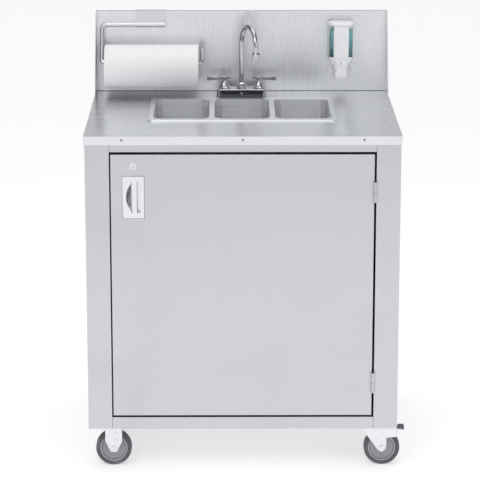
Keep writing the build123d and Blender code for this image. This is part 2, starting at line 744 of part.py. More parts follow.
def button_block(half, z, y):
    """The push button's outline: flat below, an arch above."""
    plane = Plane(origin=(0, y[1], 0), x_dir=(1, 0, 0), z_dir=(0, -1, 0))
    rise = (z[1] - z[0]) * 0.45
    left = (soap_x - half, z[1] - rise)
    right = (soap_x + half, z[1] - rise)
    arch = ThreePointArc(left, (soap_x, z[1]), right)
    rest = Polyline(right, (soap_x + half, z[0] + 5), (soap_x + half - 8, z[0]), (soap_x - half + 8, z[0]),
                    (soap_x - half, z[0] + 5), left)
    return extrude(plane * make_face([arch, rest]), amount=y[1] - y[0])


# ---- Casters ----
def wheel(name, x, y):
    hub_r = wheel_r - tyre_depth
    tyre = rod_y(wheel_r, x, (y - wheel_half, y + wheel_half), wheel_r)
    tyre = fillet(tyre.edges().filter_by(GeomType.CIRCLE), 5.0)
    tyre -= rod_y(hub_r, x, (y - wheel_half - 1, y + wheel_half + 1), wheel_r)
    save(f"tyre_{name}", tyre)
    hub = rod_y(hub_r - 0.02, x, (y - wheel_half + 1, y + wheel_half - 1), wheel_r)
    for side in (-1, 1):
        face = sorted((y + side * (wheel_half - 5), y + side * (wheel_half + 1)))
        hub -= rod_y(hub_r - 5, x, face, wheel_r)
        boss = sorted((y, y + side * (cheek_in - 0.4)))
        hub += rod_y(12.0, x, boss, wheel_r)
    hub -= rod_y(hub_bore_r, x, (y - cheek_in - 1, y + cheek_in + 1), wheel_r)
    save(f"wheel_hub_{name}", hub)


def axle(x, y):
    """An axle bolt with a hexagon head in front and a nut behind."""
    pin = rod_y(axle_r, x, (y - cheek_out - 5, y + cheek_out + 6), wheel_r)
    for low in (y - cheek_out - 5, y + cheek_out):
        plane = Plane(origin=(x, low + 5, wheel_r), x_dir=(1, 0, 0), z_dir=(0, -1, 0))
        pin += extrude(plane * RegularPolygon(8.5, 6), amount=5)
    return pin


def make_rigid_forks():
    pieces = []
    for y in (-caster_y, caster_y):
        fork = block((rigid_x - plate_length / 2, rigid_x + plate_length / 2),
                     (y - plate_width / 2, y + plate_width / 2), (plate_bottom, body_bottom))
        cheek = [(-24, plate_bottom), (24, plate_bottom), (24, wheel_r + 21), (8, wheel_r - 10),
                 (-8, wheel_r - 10), (-24, wheel_r + 21)]
        outline = [(rigid_x + px, pz) for px, pz in cheek]
        for side in (-1, 1):
            walls = sorted((y + side * cheek_in, y + side * cheek_out))
            fork += prism_y(outline, walls)
            fork -= rod_y(axle_r + 0.05, rigid_x, (walls[0] - 1, walls[1] + 1), wheel_r)
        pieces.append(fork)
        pieces.append(axle(rigid_x, y))
    save("rigid_caster_forks", *pieces)


def make_swivel_plates():
    plates = []
    for y in (-caster_y, caster_y):
        plate = block((kingpin_x - plate_length / 2, kingpin_x + plate_length / 2),
                      (y - plate_width / 2, y + plate_width / 2), (plate_bottom, body_bottom))
        plate += rod_z(27.0, kingpin_x, y, (plate_bottom - 3, plate_bottom))
        plate += rod_z(kingpin_r, kingpin_x, y, (crown_bottom - 4, plate_bottom))
        plate += rod_z(kingpin_r + 4, kingpin_x, y, (crown_bottom - 4, crown_bottom - 0.3))
        plates.append(plate)
    save("swivel_plates", *plates)


def make_swivel_fork(name, y):
    axle_x = caster_trail
    crown_x = (kingpin_x - 24, kingpin_x + 66)
    crown = block(crown_x, (y - cheek_out, y + cheek_out), (crown_bottom, crown_top))
    crown += rod_z(24.0, kingpin_x, y, (crown_bottom, crown_top + 1.7))
    cheek = [(-24, crown_top), (-24, crown_bottom - 8), (axle_x - 11, wheel_r - 6), (axle_x, wheel_r - 12),
             (axle_x + 10, wheel_r - 4), (axle_x + 13, wheel_r + 8), (axle_x + 13, wheel_r + 31),
             (axle_x + 47, wheel_r + 34), (axle_x + 47, crown_bottom - 8), (66, crown_top)]
    outline = [(kingpin_x + px, pz) for px, pz in cheek]
    for side in (-1, 1):
        walls = sorted((y + side * cheek_in, y + side * cheek_out))
        crown += prism_y(outline, walls)
        crown -= rod_y(axle_r + 0.05, kingpin_x + axle_x, (walls[0] - 1, walls[1] + 1), wheel_r)
    crown -= rod_z(kingpin_r + 0.08, kingpin_x, y, (crown_bottom - 1, crown_top + 4))
    crown += rod_y(2.5, kingpin_x + brake_pivot[0], (y - cheek_out - 1, y + cheek_out + 1), brake_pivot[1])
    save(name, crown, axle(kingpin_x + axle_x, y))


def make_brake(name, y):
    """A foot lever on a pin above the tyre: a shoe close to the tread, and a pedal outside the wheel."""
    px, pz = brake_pivot
    half = wheel_half - 2
    arm = rod_y(4.2, kingpin_x + px, (y - half, y + half), pz)
    outline = [(px, pz + 1.5), (px, pz - 2.5), (px + 44, pz - 1.0), (brake_reach, pz - 4.0),
               (brake_reach, pz + 6.0), (px + 46, pz + 6.0), (px + 42, pz + 3.0)]
    arm += prism_y([(kingpin_x + a, b) for a, b in outline], (y - half, y + half))
    shoe = [(px + 12, pz), (px + 12, wheel_r + 40), (px + 28, wheel_r + 36), (px + 28, pz)]
    pad = prism_y([(kingpin_x + a, b) for a, b in shoe], (y - half, y + half))
    pad -= rod_y(wheel_r + brake_gap, kingpin_x + caster_trail, (y - 30, y + 30), wheel_r)
    arm += pad
    arm -= rod_y(2.5 + running_gap, kingpin_x + px, (y - 30, y + 30), pz)
    for rib in range(3):
        x = kingpin_x + px + 49 + rib * 3.5
        arm -= block((x, x + 1.2), (y - 30, y + 30), (pz + 5.2, pz + 9))
    save(name, arm)


# ---- Plumbing ----
def make_tank(name, x, size):
    width, length, height = size
    z = (pan_floor + 0.3, pan_floor + 0.3 + height)
    tank = slab(width, length, 30, x, bowl_y, z)
    tank = fillet(tank.faces().sort_by(Axis.Z)[-1].edges(), 18)
    tank += rod_z(neck_r, x, bowl_y, (z[1] - 1, z[1] + neck_height))
    hollow = slab(width - 2 * tank_wall, length - 2 * tank_wall, 27, x, bowl_y,
                  (z[0] + tank_wall, z[1] - tank_wall))
    hollow = fillet(hollow.faces().sort_by(Axis.Z)[-1].edges(), 15)
    tank -= hollow
    tank -= rod_z(neck_r - tank_wall, x, bowl_y, (z[1] - 9, z[1] + neck_height + 1))
    save(name, tank)
    return z[1]


def make_plumbing():
    z_fresh = make_tank("fresh_tank", fresh_x, fresh_size)
    z_waste = make_tank("waste_tank", waste_x, waste_size)
    caps = []
    for x, z in ((fresh_x, z_fresh), (waste_x, z_waste)):
        low = z + neck_height - cap_height + 4
        cap = rod_z(neck_r + 4, x, bowl_y, (low, low + cap_height))
        cap = fillet(cap.edges().sort_by(Axis.Z)[-1:], 2.0)
        cap -= rod_z(neck_r + 0.3, x, bowl_y, (low - 1, z + neck_height + 0.2))
        caps.append(cap)
    z_cap_fresh = z_fresh + neck_height + 4
    z_cap_waste = z_waste + neck_height + 4
    caps[0] += rod_z(hose_bore_r, fresh_x + 12, bowl_y, (z_cap_fresh - 1, z_cap_fresh + 14))
    caps[1] -= rod_z(pipe_r + 0.3, waste_x, bowl_y, (z_waste, z_cap_waste + 1))
    save("tank_caps", *caps)
    make_drain_pipes(z_waste)
    make_supply(z_cap_fresh)


def make_drain_pipes(z_waste):
    left = bowl_xs[0]
    outer = rod_x(pipe_r, (left - pipe_r, waste_x), bowl_y, z_manifold)
    inner = rod_x(pipe_r - pipe_wall, (left - pipe_r + pipe_wall, waste_x), bowl_y, z_manifold)
    outer += Pos(waste_x, bowl_y, z_manifold) * Sphere(pipe_r)
    inner += Pos(waste_x, bowl_y, z_manifold) * Sphere(pipe_r - pipe_wall)
    outer += rod_z(pipe_r, waste_x, bowl_y, (z_waste - 20, z_manifold))
    inner += rod_z(pipe_r - pipe_wall, waste_x, bowl_y, (z_waste - 21, z_manifold))
    for x in bowl_xs:
        outer += rod_z(pipe_r + 6, x, bowl_y, (z_bowl_floor - 22, z_bowl_floor - 10.2))
        outer += rod_z(pipe_r, x, bowl_y, (z_manifold, z_bowl_floor - 10.2))
        inner += rod_z(pipe_r - pipe_wall, x, bowl_y, (z_manifold, z_bowl_floor - 9))
    save("drain_pipes", outer - inner)


def make_supply(z_cap):
    width, length, height = heater_size
    heater_y = y_back - 2 * sheet - 0.5 - length / 2
    heater = slab(width, length, 12, 0, heater_y, (heater_z, heater_z + height))
    tee_x = width / 2 + 22
    heater += rod_x(7, (width / 2 - 2, tee_x), heater_y, heater_z + 40)
    heater += rod_z(8, tee_x, heater_y, (heater_z + 15, heater_z + 65))
    heater += rod_z(7, -tap_x, heater_y, (heater_z + height - 2, heater_z + height + 14))
    save("water_heater", heater)
    pump_w, pump_l, pump_h = pump_size
    z_pump = pan_floor + 0.3
    z_port = z_pump + pump_h * 0.75
    pump_y = (bowl_y - pump_l / 2, bowl_y + pump_l / 2)
    pump = block((-pump_w / 2, pump_w / 2), pump_y, (z_pump, z_pump + 8))
    pump += rod_x(pump_h * 0.42, (-pump_w / 2 + 4, pump_w / 2 - 20), bowl_y, z_pump + 8 + pump_h * 0.42)
    pump += block((pump_w / 2 - 34, pump_w / 2), (bowl_y - 32, bowl_y + 32), (z_pump + 7, z_pump + pump_h))
    for low, high in ((pump_w / 2 - 1, pump_w / 2 + 12), (-pump_w / 2 - 12, -pump_w / 2 + 30)):
        pump += rod_x(hose_bore_r, (low, high), bowl_y, z_port)
    save("water_pump", pump)
    port = pump_w / 2 + 1
    loop_z = z_cap + 70
    feed = [(fresh_x + 12, bowl_y, z_cap + 1), (fresh_x + 12, bowl_y, loop_z), (-port - 50, bowl_y, loop_z),
            (-port - 50, bowl_y, z_port), (-port, bowl_y, z_port)]
    rise = [(port, bowl_y, z_port), (tee_x, bowl_y, z_port), (tee_x, heater_y, z_port),
            (tee_x, heater_y, heater_z + 14.7)]
    shank_end = z_top - shank_length - 0.3
    hot = [(-tap_x, heater_y, heater_z + height + 14.3), (-tap_x, heater_y, heater_z + height + 65),
           (-tap_x, tap_y, shank_end - 70), (-tap_x, tap_y, shank_end)]
    cold = [(tee_x, heater_y, heater_z + 65.3), (tee_x, heater_y, heater_z + height + 10),
            (tap_x, tap_y, shank_end - 70), (tap_x, tap_y, shank_end)]
    hoses = [tube(feed, [40.0, 45.0, 30.0], hose_r, hose_bore_r + 0.05)]
    hoses.append(tube(rise, [25.0, 55.0], hose_r, hose_bore_r + 0.05))
    hoses.append(tube(hot, [40.0, 40.0], hose_r, hose_bore_r))
    hoses.append(tube(cold, [45.0, 45.0], hose_r, hose_bore_r))
    save("water_hoses", *hoses)


def make_inlet():
    """A flanged power inlet, set into the side: a cup with three blades."""
    face = -half_body
    half = inlet_flange_half
    flange = block((face - 2, face), (inlet_y - half, inlet_y + half), (inlet_z - half, inlet_z + half))
    flange = fillet(flange.edges().filter_by(Axis.X), 6.0)
    cup = rod_x(inlet_r, (face - 2, face + 26), inlet_y, inlet_z)
    cup -= rod_x(inlet_r - 2.5, (face - 3, face + 23), inlet_y, inlet_z)
    flange -= rod_x(inlet_r - 2.5, (face - 3, face + 3), inlet_y, inlet_z)
    inlet = flange + cup
    for dy, dz in ((-6.5, 4), (6.5, 4)):
        inlet += block((face + 8, face + 24), (inlet_y + dy - 0.8, inlet_y + dy + 0.8),
                       (inlet_z + dz - 3.2, inlet_z + dz + 3.2))
    inlet += rod_x(2.4, (face + 8, face + 24), inlet_y, inlet_z - 8)
    save("power_inlet", inlet)


make_countertop()
make_lip_screws()
make_backsplash()
make_side_panel("left_side_panel", -1)
make_side_panel("right_side_panel", 1)
make_back_panel()
make_base_pan()
make_rail("top_rail", (opening_top, z_under), (opening_top, opening_top + sheet), lip_screw_xs)
make_rail("bottom_rail", (body_bottom, opening_bottom), (opening_bottom - sheet, opening_bottom), ())
make_door()
make_pull()
make_lock()
make_hinges()
make_sink()
make_strainers()
make_faucet_body()
make_bonnets()
make_lever("hot_handle", -1)
make_lever("cold_handle", 1)
make_spout()
make_towel_holder()
make_roll()
make_soap()
for caster_name, caster_end in (("front", -caster_y), ("rear", caster_y)):
    wheel(f"left_{caster_name}", rigid_x, caster_end)
    wheel(f"right_{caster_name}", kingpin_x + caster_trail, caster_end)
    make_swivel_fork(f"swivel_fork_{caster_name}", caster_end)
    make_brake(f"brake_pedal_{caster_name}", caster_end)
make_rigid_forks()
make_swivel_plates()
make_plumbing()
make_inlet()
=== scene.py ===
# %% [markdown]
# # A portable handwash sink
# The object is a stainless steel cabinet on four casters, with three small bowls, a mixer tap, a towel
# holder and a soap dispenser. Its frame is already modelled to size: every sheet, hinge, wheel and pipe is
# there. What is left is how it looks, so each part gets its finish, and the soft or moulded pieces whose
# shape a plain solid can't give are modelled again.

# %% Load the frame
import math

import bmesh
import bpy
from mathutils import Matrix, Vector, noise


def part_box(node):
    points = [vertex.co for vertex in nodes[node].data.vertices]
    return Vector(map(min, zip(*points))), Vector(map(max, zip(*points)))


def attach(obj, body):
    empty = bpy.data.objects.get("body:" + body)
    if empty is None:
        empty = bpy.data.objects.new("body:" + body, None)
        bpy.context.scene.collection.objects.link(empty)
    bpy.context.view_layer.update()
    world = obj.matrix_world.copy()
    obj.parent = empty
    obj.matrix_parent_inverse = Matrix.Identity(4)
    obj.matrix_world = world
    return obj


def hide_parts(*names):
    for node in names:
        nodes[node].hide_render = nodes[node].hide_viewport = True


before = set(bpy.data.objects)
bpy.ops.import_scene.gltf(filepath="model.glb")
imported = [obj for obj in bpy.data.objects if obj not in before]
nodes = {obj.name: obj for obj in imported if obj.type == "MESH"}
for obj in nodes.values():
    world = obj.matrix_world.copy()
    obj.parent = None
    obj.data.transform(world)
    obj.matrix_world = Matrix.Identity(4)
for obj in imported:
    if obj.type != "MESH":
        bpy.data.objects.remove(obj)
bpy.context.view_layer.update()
MM = 0.001

# %% [markdown]
# ## Camera
# The sink is seen from the front, from about two metres up and a long way off. A long lens from far away
# keeps the uprights almost parallel, as in a catalogue picture. A short lens close by would spread them.

# %% Camera
camera = bpy.data.objects.new("camera", bpy.data.cameras.new("camera"))
camera.data.lens = 179.3
camera.data.sensor_width = 36.0
camera.data.clip_end = 60.0
camera.location = (-0.045, -6.761, 2.294)
camera.rotation_euler = (math.radians(90 - 14.18), 0, math.radians(-0.33))
bpy.context.scene.collection.objects.link(camera)
bpy.context.scene.camera = camera
bpy.context.scene.view_settings.view_transform = "Standard"
print("camera", tuple(round(x, 3) for x in camera.location))

# %% [markdown]
# ## Nodes made short
# Shader trees are built many times below, so three small helpers place a node, place a sum and mix two
# colours. Writing them once keeps each finish to the few lines that say what is special about it.


# %% Helpers for shader trees
def put(tree, kind, sockets=None, **settings):
    """A new node. Sockets take numbers or the outputs of other nodes."""
    node = tree.nodes.new(kind)
    for key, value in settings.items():
        setattr(node, key, value)
    for key, value in (sockets or {}).items():
        if isinstance(value, bpy.types.NodeSocket):
            tree.links.new(value, node.inputs[key])
        else:
            node.inputs[key].default_value = value
    return node


def sums(tree, operation, first, second=0.0, clamp=False):
    node = put(tree, "ShaderNodeMath", {0: first, 1: second}, operation=operation, use_clamp=clamp)
    return node.outputs[0]


def ranged(tree, value, low, high, to_low=0.0, to_high=1.0):
    sockets = {"Value": value, "From Min": low, "From Max": high, "To Min": to_low, "To Max": to_high}
    return put(tree, "ShaderNodeMapRange", sockets, interpolation_type="SMOOTHSTEP").outputs["Result"]


def tinted(tree, factor, first, second):
    node = put(tree, "ShaderNodeMix", data_type="RGBA")
    for socket, value in zip((node.inputs[0], node.inputs[6], node.inputs[7]), (factor, first, second)):
        if isinstance(value, bpy.types.NodeSocket):
            tree.links.new(value, socket)
        else:
            socket.default_value = value if isinstance(value, float) else (*value, 1.0)
    return node.outputs[2]


def new_group(name, inputs, outputs):
    tree = bpy.data.node_groups.new(name, "ShaderNodeTree")
    for label, kind, value in inputs:
        socket = tree.interface.new_socket(label, in_out="INPUT", socket_type=kind)
        socket.default_value = value
    for label, kind in outputs:
        tree.interface.new_socket(label, in_out="OUTPUT", socket_type=kind)
    return tree, tree.nodes.new("NodeGroupInput").outputs, tree.nodes.new("NodeGroupOutput").inputs


def place_group(tree, name, sockets):
    node = tree.nodes.new("ShaderNodeGroup")
    node.node_tree = bpy.data.node_groups[name]
    for key, value in sockets.items():
        node.inputs[key].default_value = value
    return node.outputs


# %% [markdown]
# ## Studio
# Chrome shows nothing but its surroundings, so the surroundings are the light. A pale room with two dark
# upright flags, out to each side, gives every round chrome part its dark edges. The camera itself sees
# only a white background, so the flags show nowhere else.

# %% Pale room with two dark flags
world = bpy.data.worlds.new("studio")
bpy.context.scene.world = world
world.use_nodes = True
room = world.node_tree
room.nodes.clear()
direction = put(room, "ShaderNodeTexCoord").outputs["Generated"]
split = put(room, "ShaderNodeSeparateXYZ", {"Vector": direction}).outputs
across = sums(room, "ABSOLUTE", split[0])
flag = sums(room, "MULTIPLY", ranged(room, across, 0.50, 0.60), ranged(room, across, 0.93, 0.86))
low_sky = ranged(room, split[2], -0.25, 0.35, 0.62, 1.0)
behind = ranged(room, split[1], -0.2, 0.6, 1.0, 0.72)
level = sums(room, "MULTIPLY", low_sky, behind)
level = sums(room, "MULTIPLY", level, sums(room, "SUBTRACT", 1.0, sums(room, "MULTIPLY", flag, 0.86)))
pale = tinted(room, level, (0.0, 0.0, 0.0), (0.97, 0.985, 1.0))
seen = put(room, "ShaderNodeLightPath").outputs["Is Camera Ray"]
shown = tinted(room, seen, pale, (1.0, 1.0, 1.0))
background = put(room, "ShaderNodeBackground", {"Color": shown, "Strength": 0.86})
room_out = room.nodes.new("ShaderNodeOutputWorld")
room.links.new(background.outputs[0], room_out.inputs["Surface"])
print("room built from", len(room.nodes), "nodes")


# %% Soft lights
def soft_light(name, place, aim, size, power):
    light = bpy.data.objects.new(name, bpy.data.lights.new(name, "AREA"))
    light.data.shape = "RECTANGLE"
    light.data.size = size[0]
    light.data.size_y = size[1]
    light.data.energy = power
    light.location = place
    light.rotation_euler = (Vector(aim) - Vector(place)).to_track_quat("-Z", "Y").to_euler()
    bpy.context.scene.collection.objects.link(light)
    return light


soft_light("key", (-1.6, -3.2, 3.4), (0, 0, 0.9), (2.0, 1.6), 26)
soft_light("fill", (2.6, -2.6, 1.8), (0, 0, 0.7), (1.6, 2.0), 10)
soft_light("top", (0.2, 0.4, 3.6), (0, 0, 0.9), (2.4, 1.6), 16)
print("three soft lights")

# %% Floor
floor_mesh = bpy.data.meshes.new("floor")
bm = bmesh.new()
bmesh.ops.create_grid(bm, x_segments=8, y_segments=8, size=14)
bm.to_mesh(floor_mesh)
bm.free()
floor = bpy.data.objects.new("floor", floor_mesh)
bpy.context.scene.collection.objects.link(floor)

# %% [markdown]
# ## Grain, marks and moulded skin
# Brushed steel is ruled with fine scratches, all one way. A noise that is squeezed hard across the grain
# and left long along it gives them, and a slower one gives the cloudy patches where a sheet was wiped.
# The same three effects serve every finish here, so each is a group with its own inputs.

# %% Brushed grain
tree, given, out = new_group("brushed_grain", [("Stretch", "NodeSocketVector", (900.0, 900.0, 5.0))],
                             [("Streak", "NodeSocketFloat"), ("Cloud", "NodeSocketFloat")])
place = put(tree, "ShaderNodeTexCoord").outputs["Object"]
stretched = put(tree, "ShaderNodeVectorMath", {0: place, 1: given["Stretch"]}, operation="MULTIPLY")
long_lines = stretched.outputs[0]
fine = put(tree, "ShaderNodeTexNoise", {"Vector": long_lines, "Scale": 1.0, "Detail": 2.0}).outputs["Fac"]
wide = put(tree, "ShaderNodeTexNoise", {"Vector": long_lines, "Scale": 0.13, "Detail": 3.0}).outputs["Fac"]
cloud = put(tree, "ShaderNodeTexNoise", {"Vector": place, "Scale": 2.6, "Detail": 2.0}).outputs["Fac"]
half = sums(tree, "MULTIPLY", sums(tree, "ADD", fine, wide), 0.5)
tree.links.new(ranged(tree, half, 0.3, 0.7), out["Streak"])
tree.links.new(ranged(tree, cloud, 0.3, 0.7), out["Cloud"])

# %% Marks of handling
tree, given, out = new_group("handling_marks",
                             [("Size", "NodeSocketFloat", 6.0), ("Amount", "NodeSocketFloat", 0.5)],
                             [("Mask", "NodeSocketFloat")])
place = put(tree, "ShaderNodeTexCoord").outputs["Object"]
blot = put(tree, "ShaderNodeTexNoise",
           {"Vector": place, "Scale": given["Size"], "Detail": 5.0, "Distortion": 0.6})
mask = ranged(tree, blot.outputs["Fac"], 0.52, 0.74)
tree.links.new(sums(tree, "MULTIPLY", mask, given["Amount"]), out["Mask"])

# %% Moulded skin
tree, given, out = new_group("moulded_skin", [("Pitch", "NodeSocketFloat", 1400.0)],
                             [("Height", "NodeSocketFloat"), ("Cloud", "NodeSocketFloat")])
place = put(tree, "ShaderNodeTexCoord").outputs["Object"]
pores = put(tree, "ShaderNodeTexVoronoi", {"Vector": place, "Scale": given["Pitch"]}).outputs["Distance"]
cloud = put(tree, "ShaderNodeTexNoise", {"Vector": place, "Scale": 9.0, "Detail": 3.0}).outputs["Fac"]
tree.links.new(pores, out["Height"])
tree.links.new(ranged(tree, cloud, 0.3, 0.7), out["Cloud"])
print("groups:", [g.name for g in bpy.data.node_groups])


# %% [markdown]
# ## Finishes
# Each slot of the record is one real finish. Steel differs from part to part in its grain and in how far
# it was polished, so one function makes them all and a table says what each is like. Plastics share a
# second function, with the colour, the gloss and the depth of the moulded skin.


# %% Blank material
finishes = {}


def blank(name, **sockets):
    """A material with one principled shader. Plain numbers go straight on its sockets."""
    material = bpy.data.materials.new(name)
    material.use_nodes = True
    tree = material.node_tree
    tree.nodes.clear()
    shader = put(tree, "ShaderNodeBsdfPrincipled")
    for key, value in sockets.items():
        shader.inputs[key.replace("_", " ")].default_value = value
    out = tree.nodes.new("ShaderNodeOutputMaterial")
    tree.links.new(shader.outputs[0], out.inputs["Surface"])
    finishes[name] = material
    return tree, shader


def raised(tree, shader, height, strength, distance):
    """Height that turns the light as a small relief would."""
    bump = put(tree, "ShaderNodeBump", {"Height": height, "Strength": strength, "Distance": distance})
    tree.links.new(bump.outputs[0], shader.inputs["Normal"])


# %% Steel
ALONG_X = (7.0, 800.0, 800.0)
ALONG_Z = (800.0, 800.0, 7.0)
CIRCLED = (260.0, 260.0, 260.0)


def steel(name, light, dark, rough, grain, depth):
    tree, shader = blank(name, Metallic=1.0)
    ruled = place_group(tree, "brushed_grain", {"Stretch": grain})
    wiped = place_group(tree, "handling_marks", {"Size": 5.0, "Amount": 0.35})
    worn = tinted(tree, ruled["Streak"], dark, light)
    worn = tinted(tree, wiped["Mask"], worn, tuple(0.93 * c for c in light))
    tree.links.new(worn, shader.inputs["Base Color"])
    gloss = ranged(tree, ruled["Streak"], 0.0, 1.0, rough - 0.04, rough + 0.05)
    gloss = sums(tree, "ADD", gloss, sums(tree, "MULTIPLY", wiped["Mask"], 0.10))
    gloss = sums(tree, "ADD", gloss, sums(tree, "MULTIPLY", ruled["Cloud"], 0.03))
    tree.links.new(gloss, shader.inputs["Roughness"])
    raised(tree, shader, ruled["Streak"], depth, 0.0003)


steel("counter_steel", (0.80, 0.805, 0.825), (0.78, 0.785, 0.805), 0.24, ALONG_X, 0.006)
steel("splash_steel", (0.80, 0.805, 0.82), (0.785, 0.79, 0.805), 0.27, ALONG_Z, 0.004)
steel("panel_steel", (0.60, 0.605, 0.625), (0.585, 0.59, 0.61), 0.30, ALONG_Z, 0.01)
steel("door_steel", (0.61, 0.615, 0.635), (0.60, 0.605, 0.625), 0.34, ALONG_Z, 0.01)
steel("sink_steel", (0.88, 0.885, 0.90), (0.87, 0.875, 0.89), 0.30, ALONG_X, 0.002)
steel("fastener_steel", (0.42, 0.42, 0.44), (0.30, 0.30, 0.32), 0.28, CIRCLED, 0.10)
steel("pull_steel", (0.80, 0.805, 0.82), (0.76, 0.765, 0.78), 0.18, ALONG_Z, 0.02)
steel("hinge_steel", (0.58, 0.585, 0.60), (0.50, 0.505, 0.52), 0.26, ALONG_Z, 0.06)
steel("rod_steel", (0.72, 0.725, 0.74), (0.69, 0.695, 0.71), 0.20, ALONG_X, 0.01)
print("steels made")


# %% Chrome
def chrome(name, colour, rough):
    """Plated parts are smooth, with only dried drops and finger marks to dull them."""
    tree, shader = blank(name, Metallic=1.0)
    drops = place_group(tree, "handling_marks", {"Size": 90.0, "Amount": 0.7})
    clean = tinted(tree, drops["Mask"], colour, tuple(0.9 * c for c in colour))
    tree.links.new(clean, shader.inputs["Base Color"])
    tree.links.new(ranged(tree, drops["Mask"], 0.0, 1.0, rough, rough + 0.12), shader.inputs["Roughness"])
    raised(tree, shader, drops["Mask"], 0.04, 0.0002)


chrome("tap_chrome", (0.56, 0.565, 0.58), 0.05)
chrome("lock_chrome", (0.70, 0.70, 0.71), 0.10)

# The upright front of the tap's base is painted darker than its top, picked out by the way each face points:
# a painted dark reflection, not a tone the chrome has.
tree, shader = blank("tap_base_chrome_painted_reflection", Metallic=1.0, Roughness=0.09)
faces_way = put(tree, "ShaderNodeTexCoord").outputs["Normal"]
sides = put(tree, "ShaderNodeSeparateXYZ", {"Vector": faces_way}).outputs
painted_reflection_mask = ranged(tree, sums(tree, "MULTIPLY", sides[1], -1.0), 0.86, 0.97)
painted_dark_reflection = tinted(tree, painted_reflection_mask, (0.56, 0.565, 0.58), (0.085, 0.087, 0.092))
tree.links.new(painted_dark_reflection, shader.inputs["Base Color"])
worn = place_group(tree, "handling_marks", {"Size": 40.0, "Amount": 0.3})
tree.links.new(ranged(tree, worn["Mask"], 0.0, 0.3, 0.07, 0.16), shader.inputs["Roughness"])


# %% Zinc plate
def zinc(name, light, dark):
    """Zinc plating has a cloudy, slightly blue bloom."""
    tree, shader = blank(name, Metallic=1.0)
    bloom = place_group(tree, "handling_marks", {"Size": 60.0, "Amount": 0.8})
    skin = place_group(tree, "moulded_skin", {"Pitch": 420.0})
    tree.links.new(tinted(tree, bloom["Mask"], light, dark), shader.inputs["Base Color"])
    tree.links.new(ranged(tree, bloom["Mask"], 0.0, 1.0, 0.30, 0.46), shader.inputs["Roughness"])
    raised(tree, shader, skin["Height"], 0.10, 0.0002)


zinc("caster_zinc", (0.80, 0.805, 0.82), (0.68, 0.69, 0.72))


# %% Plastics, rubber and enamel
def plastic(name, light, dark, rough, pitch=1400.0, depth=0.08, coat=0.0, marks=0.3, **sockets):
    tree, shader = blank(name, Coat_Weight=coat, Coat_Roughness=0.08, **sockets)
    skin = place_group(tree, "moulded_skin", {"Pitch": pitch})
    rubbed = place_group(tree, "handling_marks", {"Size": 30.0, "Amount": marks})
    body = tinted(tree, skin["Cloud"], dark, light)
    dusty = tuple(0.5 * c + 0.25 for c in light)
    tree.links.new(tinted(tree, rubbed["Mask"], body, dusty), shader.inputs["Base Color"])
    gloss = ranged(tree, rubbed["Mask"], 0.0, 1.0, rough, min(rough + 0.2, 1.0))
    tree.links.new(gloss, shader.inputs["Roughness"])
    raised(tree, shader, skin["Height"], depth, 0.0003)


plastic("dispenser_white", (0.94, 0.945, 0.955), (0.92, 0.925, 0.94), 0.22, coat=0.5, depth=0.02, marks=0.08)
plastic("pump_black", (0.03, 0.03, 0.032), (0.02, 0.02, 0.022), 0.35)
plastic("hub_grey", (0.34, 0.34, 0.355), (0.30, 0.30, 0.315), 0.42, pitch=900.0, depth=0.10)
plastic("hub_ring", (0.56, 0.56, 0.58), (0.50, 0.50, 0.52), 0.38, pitch=900.0, depth=0.10)
plastic("tyre_rubber", (0.115, 0.115, 0.125), (0.085, 0.085, 0.095), 0.62, pitch=700.0, depth=0.30, marks=0.5)
plastic("pedal_grey", (0.13, 0.14, 0.16), (0.10, 0.11, 0.13), 0.45, pitch=900.0, depth=0.2)
plastic("tank_white", (0.78, 0.79, 0.80), (0.70, 0.72, 0.73), 0.40, pitch=500.0, depth=0.15,
        Subsurface_Weight=0.25, Subsurface_Radius=(0.02, 0.02, 0.02))
plastic("cap_black", (0.035, 0.035, 0.04), (0.02, 0.02, 0.025), 0.42, pitch=900.0, depth=0.2)
plastic("pipe_white", (0.76, 0.76, 0.75), (0.70, 0.70, 0.69), 0.30, depth=0.05)
plastic("heater_white", (0.80, 0.80, 0.80), (0.76, 0.76, 0.76), 0.25, pitch=260.0, depth=0.10, coat=0.3)
print("plastics made")

# %% Clear plastic and hose
tree, shader = blank("bottle_clear", Transmission_Weight=1.0, IOR=1.46)
scuffs = place_group(tree, "handling_marks", {"Size": 40.0, "Amount": 0.6})
tree.links.new(ranged(tree, scuffs["Mask"], 0.0, 1.0, 0.04, 0.16), shader.inputs["Roughness"])
hazed = tinted(tree, scuffs["Mask"], (0.93, 0.97, 0.98), (0.86, 0.90, 0.91))
tree.links.new(hazed, shader.inputs["Base Color"])
tree, shader = blank("hose_clear", IOR=1.45, Transmission_Weight=0.35)
braid = put(tree, "ShaderNodeTexCoord").outputs["Object"]
threads = put(tree, "ShaderNodeTexWave", {"Vector": braid, "Scale": 160.0, "Distortion": 1.0},
              bands_direction="DIAGONAL").outputs["Fac"]
tree.links.new(tinted(tree, threads, (0.62, 0.66, 0.68), (0.80, 0.83, 0.84)), shader.inputs["Base Color"])
tree.links.new(ranged(tree, threads, 0.0, 1.0, 0.22, 0.38), shader.inputs["Roughness"])
raised(tree, shader, threads, 0.2, 0.0004)

# %% Soap
tree, shader = blank("soap_blue", IOR=1.38, Coat_Weight=0.2)
settled = place_group(tree, "handling_marks", {"Size": 14.0, "Amount": 0.5})
teal = tinted(tree, settled["Mask"], (0.30, 0.78, 0.86), (0.38, 0.84, 0.90))
tree.links.new(teal, shader.inputs["Base Color"])
tree.links.new(ranged(tree, settled["Mask"], 0.0, 1.0, 0.12, 0.22), shader.inputs["Roughness"])

